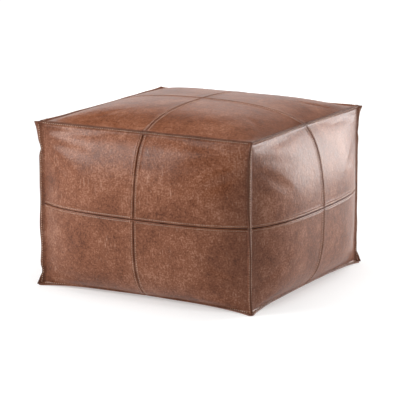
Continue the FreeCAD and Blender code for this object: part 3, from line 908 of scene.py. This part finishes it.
def lay_row(row, path, outwards):
    """Adds places for stitches at an even pitch along a path of points."""
    steps = np.linalg.norm(np.diff(path, axis=0), axis=1)
    run = np.concatenate([[0], np.cumsum(steps)])
    count = max(int(run[-1] / PITCH), 1)
    spots = (np.arange(count) + 0.5) * run[-1] / count
    middle = np.stack([np.interp(spots, run, path[:, k]) for k in range(3)], -1)
    ahead = np.stack([np.interp(spots + 0.001, run, path[:, k]) for k in range(3)], -1)
    behind = np.stack([np.interp(spots - 0.001, run, path[:, k]) for k in range(3)], -1)
    facing = np.stack([np.interp(spots, run, outwards[:, k]) for k in range(3)], -1)
    for spot, along, out in zip(middle, ahead - behind, facing):
        row.append(stitch_place(Vector(spot), Vector(along), Vector(out)))
    return count


def finish_rows(row, name, node):
    """One mesh with a copy of the stitch at every place."""
    bm = bmesh.new()
    for _ in row:
        bm.from_mesh(one_stitch)
    size = len(one_stitch.vertices)
    for index, vertex in enumerate(bm.verts):
        vertex.co = row[index // size] @ vertex.co
    mesh = bpy.data.meshes.new(name)
    bm.to_mesh(mesh)
    bm.free()
    mesh.shade_smooth()
    obj = bpy.data.objects.new(name, mesh)
    bpy.context.collection.objects.link(obj)
    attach(obj, "cover")
    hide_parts(node)
    return obj


# %% Topstitch the panel seams
ROW_STEPS = 80
ROW_ENDS = (0.006, 0.004)  # where a row starts at the crossing, and stops before the edge


def face_rows(name):
    """The eight rows beside a face's two seams, as paths and outward directions."""
    half_v = HALF if name == "top" else RISE
    lift = 0.25 * THREAD - seam_relief(STITCH)
    start, stop = ROW_ENDS
    rows = []
    for sign in (-1, 1):
        for end in (-1, 1):
            run = end * np.linspace(start / half_v, 1 - stop / half_v, ROW_STEPS)
            rows.append((sign * STITCH / HALF + 0 * run, run))
            run = end * np.linspace(start / HALF, 1 - stop / HALF, ROW_STEPS)
            rows.append((run, sign * STITCH / half_v + 0 * run))
    made = []
    for u, v in rows:
        normal = skin_normal(name, u, v)
        made.append((skin(name, u, v) + normal * lift, normal))
    return made


stitch_groups = []
total = 0
for name in ("top", "front", "right", "back", "left"):
    row = []
    for path, outwards in face_rows(name):
        total += lay_row(row, path, outwards)
    stitch_groups.append(finish_rows(row, f"stitches_{name}", f"{name}_topstitching"))
print("topstitches:", total)

# %% Stitch through the lips


def lip_path(name, side, sign):
    """The row at the foot of a lip, on the outside of one face's leaf of it. side is u for
    an upright and v for a level edge."""
    right, up, out = AXES[name]
    run = np.linspace(-0.98, 0.98, ROW_STEPS)
    fixed = sign + 0 * run
    u, v = (fixed, run) if side == "u" else (run, fixed)
    edge = skin(name, u, v)
    across = (right if side == "u" else up) * sign
    floor = name != "top" and side == "v" and sign == FLOOR_SIGN
    lip = out if floor else SLANT * (across + out)
    upright = side == "u" and name != "top"
    width = lip_width(edge, (1 - np.abs(run)) * (RISE if upright else HALF), upright)
    reach = 0.6 * TURN + 0 * run if floor else (TURN + 0.0008) * np.minimum(width, 1)
    foot, path, tip = (
        edge + far[:, None] * lip + lean_aside(edge, far) for far in (reach - 0.001, reach, reach + 0.001)
    )
    facing = np.cross(np.gradient(path, axis=0), tip - foot)
    facing = facing / np.linalg.norm(facing, axis=1, keepdims=True)
    facing = facing * np.sign(facing @ (out - across))[:, None]
    return path + facing * (LEATHER + 0.2 * THREAD), facing


LIP_ROWS = {
    "top_lip_stitching": [("top", side, sign) for side in "uv" for sign in (-1, 1)]
    + [(name, "v", 1) for name in ("front", "right", "back", "left")],
    "upright_lip_stitching": [
        (name, "u", sign) for name in ("front", "right", "back", "left") for sign in (-1, 1)
    ],
    "bottom_lip_stitching": [(name, "v", -1) for name in ("front", "right", "back", "left")],
}
for node, rows in LIP_ROWS.items():
    row = []
    count = sum(lay_row(row, *lip_path(*edge)) for edge in rows)
    stitch_groups.append(finish_rows(row, f"stitches_{node}", node))
    print(node, count)

row = []
tape_low, tape_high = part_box("zip_tape_stitching")
for sign in (-1, 1):
    xs = np.linspace(tape_low.x, tape_high.x, ROW_STEPS)
    ys = sign * (tape_high.y - THREAD / 2) + 0 * xs
    path = np.stack([xs, ys, tape_low.z + THREAD / 2 + 0 * xs], -1)
    lay_row(row, path, np.tile((0.0, 0.0, 1.0), (len(xs), 1)))
stitch_groups.append(finish_rows(row, "stitches_zip_tape", "zip_tape_stitching"))

# %% [markdown]
# ## Thread
# The thread is a waxed, twisted polyester in a light tan. The twist is a very fine noise
# that only moves the bump, and the colour varies a little from stitch to stitch.

# %% Mix the thread


def make_thread():
    thread = Finish("tan_thread")
    shade = thread.noise(120, detail=2)
    colour = shade.ramp((0.3, (0.44, 0.27, 0.18)), (0.7, (0.72, 0.53, 0.40)))
    twist = thread.noise(1, detail=1, place=thread.stretched((2200, 2200, 2200)))
    thread.set(Base_Color=colour, Roughness=0.55, Normal=thread.bump(twist, 0.0001, 0.6))
    return thread.material


thread = make_thread()
for piece in stitch_groups:
    dress(piece, thread)

# %% [markdown]
# ## Inside: the cotton bag and its filling
# The filling is kept in a plain calico bag, so that the leather cover can come off. It hugs
# the leather from inside. The same stuffed faces are sampled again a few millimetres
# further in. The filling is lumpy, so slow noise moves its skin in and out.

# %% Sew the cotton bag
LINER_DEPTH = 0.0044
LINER_CLOTH = 0.001
LINER_SHARE = 0.985  # of the leather's own width
liner_low, liner_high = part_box("liner_bottom")


def inner_face(name, depth, columns, rows, lumps=0.0):
    """Points of a face below the leather's outside, kept above the bag's floor."""
    across, upwards = (np.linspace(-LINER_SHARE, LINER_SHARE, count) for count in (columns, rows))
    u, v = np.meshgrid(across, upwards, indexing="ij")
    places = skin(name, u, v)
    normal = skin_normal(name, u, v)
    sink = depth + lumps * (wander(places, 0.05, 1.3)[..., :1] + 0.5)
    places = places - normal * sink
    places[..., 2] = np.maximum(places[..., 2], liner_high.z + 0.0002)
    return places


liners = []
for name in ("top", "front", "right", "back", "left"):
    panel = grid_mesh(f"cotton_{name}", inner_face(name, LINER_DEPTH, 40, 32, 0.0006), FACES[name][2])
    thicken(panel, LINER_CLOTH, outwards=False)
    liners.append((panel, f"liner_{name}"))
flat = inner_face("underside", 0, 40, 40)
flat[..., :2] *= LINER_SHARE
flat[..., 2] = liner_low.z
panel = grid_mesh("cotton_bottom", flat, (0, 0, -1))
thicken(panel, LINER_CLOTH, outwards=False)
liners.append((panel, "liner_bottom"))


def make_calico():
    calico = Finish("calico")
    warp = calico.noise(1, detail=1, place=calico.stretched((1500, 220, 1500)))
    weft = calico.noise(1, detail=1, place=calico.stretched((220, 1500, 220)))
    shade = calico.noise(20, detail=3)
    colour = shade.ramp((0.3, (0.56, 0.51, 0.41)), (0.7, (0.72, 0.68, 0.58)))
    calico.set(Base_Color=colour, Roughness=0.9, Normal=calico.bump(warp + weft, 0.0003, 0.5))
    return calico.material


calico = make_calico()
for panel, node in liners:
    dress(panel, calico)
    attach(panel, "cover")
    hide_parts(node)

# %% Pack the filling
FILLING_DEPTH = 0.009
FILLING_GAP = 0.0013  # above the bag's floor
LUMPS = 0.004


def make_filling():
    """The stuffed form again, sunk below the bag and lumpy."""
    mesh = make_cover_form()
    shell = np.array([places[key(point)] for point in cube_points])
    middle = np.array([0, 0, MIDDLE])
    inwards = shell - middle
    lumps = wander(shell, 0.045, 5.5)[:, :1]
    sunk = FILLING_DEPTH + LUMPS * (lumps + 0.6)
    packed = middle + inwards * (1 - sunk / np.linalg.norm(inwards, axis=1, keepdims=True))
    packed[:, 2] = np.maximum(packed[:, 2], liner_high.z + FILLING_GAP)
    mesh.vertices.foreach_set("co", packed.ravel())
    mesh.shade_smooth()
    obj = bpy.data.objects.new("cotton_and_foam_filling", mesh)
    bpy.context.collection.objects.link(obj)
    return obj


def make_wadding():
    wadding = Finish("wadding")
    tufts = wadding.noise(90, detail=6, roughness=0.7)
    colour = tufts.ramp((0.3, (0.55, 0.52, 0.46)), (0.7, (0.80, 0.78, 0.72)))
    wadding.set(Base_Color=colour, Roughness=0.95, Normal=wadding.bump(tufts, 0.004, 0.8))
    return wadding.material


filling = make_filling()
dress(filling, make_wadding())
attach(filling, "cover")
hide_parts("filling")

# %% [markdown]
# ## The zip
# The CAD model's zip is already right in shape, and it has to move exactly as it does there,
# so its nodes stay. They only get their own finishes: woven tape, moulded teeth, and brass
# that is rubbed bright in places.

# %% Finish the zip


def make_tape():
    tape = Finish("zip_tape_weave")
    ribs = tape.noise(1, detail=1, place=tape.stretched((2400, 500, 500)))
    shade = tape.noise(60, detail=3)
    colour = shade.ramp((0.3, (0.030, 0.016, 0.011)), (0.7, (0.060, 0.034, 0.024)))
    tape.set(Base_Color=colour, Roughness=0.85, Normal=tape.bump(ribs, 0.0003, 0.7))
    return tape.material


def make_teeth():
    teeth = Finish("moulded_teeth")
    shade = teeth.noise(80, detail=4)
    colour = shade.ramp((0.3, (0.028, 0.016, 0.012)), (0.7, (0.050, 0.030, 0.022)))
    teeth.set(Base_Color=colour, Roughness=0.35 + 0.2 * shade, Normal=teeth.bump(shade, 0.0001, 0.5))
    return teeth.material


def make_brass():
    brass = Finish("rubbed_brass")
    tarnish = brass.noise(160, detail=5, roughness=0.6)
    scuffs = brass.noise(1, detail=2, place=brass.stretched((300, 2400, 900)))
    colour = tarnish.ramp((0.35, (0.30, 0.19, 0.08)), (0.62, (0.62, 0.43, 0.18)))
    gloss = 0.28 + 0.25 * tarnish + 0.12 * scuffs
    brass.set(Base_Color=colour, Metallic=1.0, Roughness=gloss, Normal=brass.bump(scuffs, 0.00004, 0.5))
    return brass.material


for finish, nodes in (
    (make_tape(), ("zip_tape_front", "zip_tape_back")),
    (make_teeth(), ("zip_teeth_front", "zip_teeth_back")),
    (make_brass(), ("zip_stop_open_end", "zip_stop_closed_end", "zip_slider", "zip_pull")),
):
    for node in nodes:
        dress(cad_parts[node], finish)

# %% [markdown]
# ## Floor, light and camera
# The pouf stands in a small studio: a pale floor with a painted glow of its own that runs out
# to white, a large soft light from behind on the right that glances off the side, a weak one
# from behind on the left for the top, a wide one overhead, and a low key light from the front
# left. The floor is only painted on its upper side, so the zip can be looked at from below.

# %% Set the stage
FLOOR_LEVEL = -0.0006
GLOW = (0.42, 1.0)  # the floor's own light near the pouf and far from it
GLOW_DISTANCES = (1.15, 3.1)


def grey(level):
    """An opaque grey."""
    return (level, level, level, 1)


def make_floor():
    """A wide floor with a painted glow of its own that grows brighter with distance until it is plain
    white.
    """
    bm = bmesh.new()
    bmesh.ops.create_grid(bm, x_segments=8, y_segments=8, size=30)
    mesh = bpy.data.meshes.new("floor")
    bm.to_mesh(mesh)
    bm.free()
    floor = bpy.data.objects.new("floor", mesh)
    floor.location.z = FLOOR_LEVEL
    bpy.context.collection.objects.link(floor)
    paint = Finish("floor_paint")
    paint.set(Base_Color=grey(0.6), Roughness=0.9, Specular_IOR_Level=0.1)
    length = {"operation": "LENGTH"}
    distance = paint.start.make("ShaderNodeVectorMath", output=1, settings=length, i0=paint.place)
    sweep = distance.between(*GLOW_DISTANCES)
    # painted light: the floor's emission is a glow of its own, weaker near the pouf and white far off
    paint.set(Emission_Color=sweep.mix(*(grey(level) for level in GLOW)), Emission_Strength=1)
    underneath = paint.start.make("ShaderNodeNewGeometry", output="Backfacing")
    paint.set(Alpha=1 - underneath)
    dress(floor, paint.material)


def soft_light(name, place, target, size, power):
    """A rectangular white light that faces its target."""
    data = bpy.data.lights.new(name, "AREA")
    data.shape = "RECTANGLE"
    data.size, data.size_y = size
    data.energy = power
    lamp = bpy.data.objects.new(name, data)
    lamp.location = place
    lamp.rotation_euler = (Vector(target) - Vector(place)).to_track_quat("-Z", "Y").to_euler()
    bpy.context.collection.objects.link(lamp)


make_floor()
centre = (0, 0, MIDDLE)
soft_light("side_softbox", (1.5, 2.3, 0.75), (0.2, 0.1, 0.25), (1.6, 1.5), 73)
soft_light("back_softbox", (-1.5, 2.7, 1.0), centre, (2.2, 0.9), 9)
soft_light("overhead", (0.4, 0.1, 2.4), centre, (2.2, 2.2), 51)
soft_light("key", (-1.3, -1.3, 1.05), (-0.1, 0, 0.25), (1.3, 1.0), 39)
world = bpy.data.worlds.new("studio")
bpy.context.scene.world = world
world.use_nodes = True
world.node_tree.nodes["Background"].inputs["Color"].default_value = (1, 1, 1, 1)
world.node_tree.nodes["Background"].inputs["Strength"].default_value = 0.08

# %% Place the camera
AZIMUTH = math.radians(29.22)
ELEVATION = math.radians(12.23)
WIDTHS_AWAY = 9.0
LENS = 187.1
SHIFT = (-0.0067, -0.0151)

camera_data = bpy.data.cameras.new("camera")
camera_data.sensor_width = 36
camera_data.lens = LENS
camera_data.shift_x, camera_data.shift_y = SHIFT
camera = bpy.data.objects.new("camera", camera_data)
bpy.context.collection.objects.link(camera)
back = Vector(
    (
        math.sin(AZIMUTH) * math.cos(ELEVATION),
        -math.cos(AZIMUTH) * math.cos(ELEVATION),
        math.sin(ELEVATION),
    )
)
aim = Vector((0, 0, TOP_EDGE / 2))
camera.location = aim + back * WIDTHS_AWAY * 2 * HALF
camera.rotation_euler = back.to_track_quat("Z", "Y").to_euler()
bpy.context.scene.camera = camera
bpy.context.scene.view_settings.view_transform = "Standard"
print("camera", tuple(round(value, 2) for value in camera.location))
